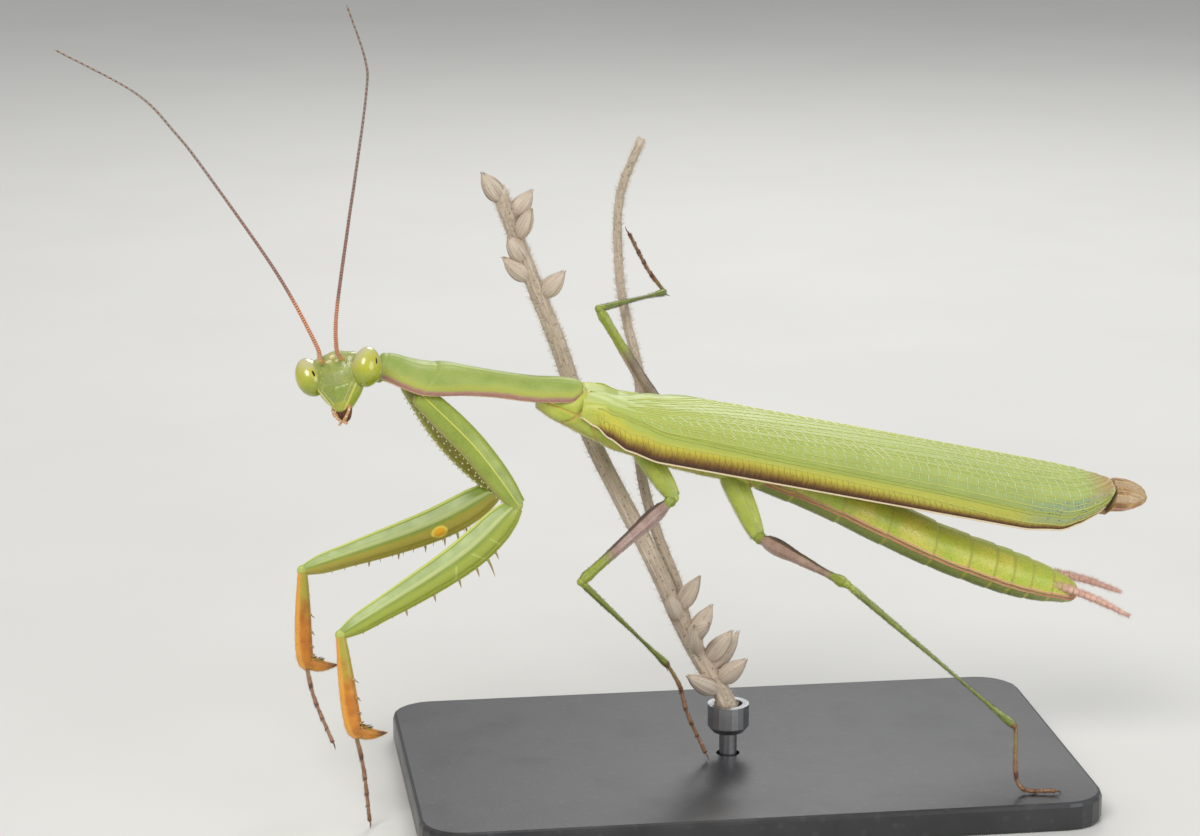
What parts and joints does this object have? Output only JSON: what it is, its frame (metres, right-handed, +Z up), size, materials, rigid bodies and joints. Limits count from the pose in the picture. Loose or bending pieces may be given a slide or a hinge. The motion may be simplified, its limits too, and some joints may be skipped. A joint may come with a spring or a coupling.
{
  "type": "praying mantis model",
  "caption": "Life-size model of a green praying mantis with folded wings and raised grasping forelegs, gripping a short dry stem on a flat base.",
  "frame": {"origin": "centre of the underside of the stand's flat base", "axes": "+Z up; the insect looks towards -X and its tail points to +X, so +X is the long axis; its left side is at -Y"},
  "size_m": [0.0889, 0.033, 0.0679],
  "materials": {
    "face_green": "waxy yellow-green cuticle, finely grained, glossy on the face shield",
    "eye": "glossy yellow-green compound eye with a small dark false pupil and a paler upper part",
    "mouth_brown": "brown palps and mouthparts",
    "feeler": "beaded red-brown feelers that turn grey towards the tip",
    "body_green": "waxy green cuticle with a fine grain, mauve and tan along the side margins",
    "abdomen_green": "yellow-green segments with fine specks and a tan line along the side",
    "cercus_pink": "pink-brown ringed tail feelers with fine hairs",
    "wing_green": "leathery pale green with raised veins, a brown band and a cream front edge",
    "wing_tip_brown": "translucent brown veined wing tip",
    "foreleg_green": "grey-green with yellow beaded ridges",
    "claw_orange": "orange grasping shin with dark claw tip",
    "coxa_green": "yellow-green hip segments",
    "femur_mauve": "mauve-brown thigh, green at the knee",
    "tibia_green": "olive-green shin with fine hairs",
    "tarsus_brown": "brown jointed feet",
    "dry_stem": "dry, grooved, hairy straw-coloured stem with papery husks",
    "stand_black": "plain satin black",
    "stand_metal": "plain brushed steel"
  },
  "bodies": {
    "root": {"head": "face_green", "eye_left": "eye", "eye_right": "eye", "mouthparts": "mouth_brown", "antenna_left_base": "feeler", "antenna_left_mid": "feeler", "antenna_left_tip": "feeler", "antenna_right_base": "feeler", "antenna_right_mid": "feeler", "antenna_right_tip": "feeler", "neck": "body_green", "prothorax": "body_green", "mesothorax": "body_green", "metathorax": "body_green", "abdomen_front": "abdomen_green", "abdomen_middle": "abdomen_green", "abdomen_end": "abdomen_green", "cercus_left": "cercus_pink", "cercus_right": "cercus_pink", "tegmen_left": "wing_green", "tegmen_right": "wing_green", "hindwing_left": "wing_tip_brown", "hindwing_right": "wing_tip_brown", "fore_coxa_left": "foreleg_green", "fore_femur_left": "foreleg_green", "fore_tibia_left": "claw_orange", "mid_coxa_left": "coxa_green", "hind_coxa_left": "coxa_green", "mid_femur_left": "femur_mauve", "hind_femur_left": "femur_mauve", "mid_tibia_left": "tibia_green", "hind_tibia_left": "tibia_green", "fore_tarsus_left": "tarsus_brown", "mid_tarsus_left": "tarsus_brown", "hind_tarsus_left": "tarsus_brown", "fore_coxa_right": "foreleg_green", "fore_femur_right": "foreleg_green", "fore_tibia_right": "claw_orange", "mid_coxa_right": "coxa_green", "hind_coxa_right": "coxa_green", "mid_femur_right": "femur_mauve", "hind_femur_right": "femur_mauve", "mid_tibia_right": "tibia_green", "hind_tibia_right": "tibia_green", "fore_tarsus_right": "tarsus_brown", "mid_tarsus_right": "tarsus_brown", "hind_tarsus_right": "tarsus_brown", "perch_stem": "dry_stem", "perch_twig": "dry_stem", "stand_base": "stand_black", "stand_rod": "stand_metal"}
  },
  "joints": []
}
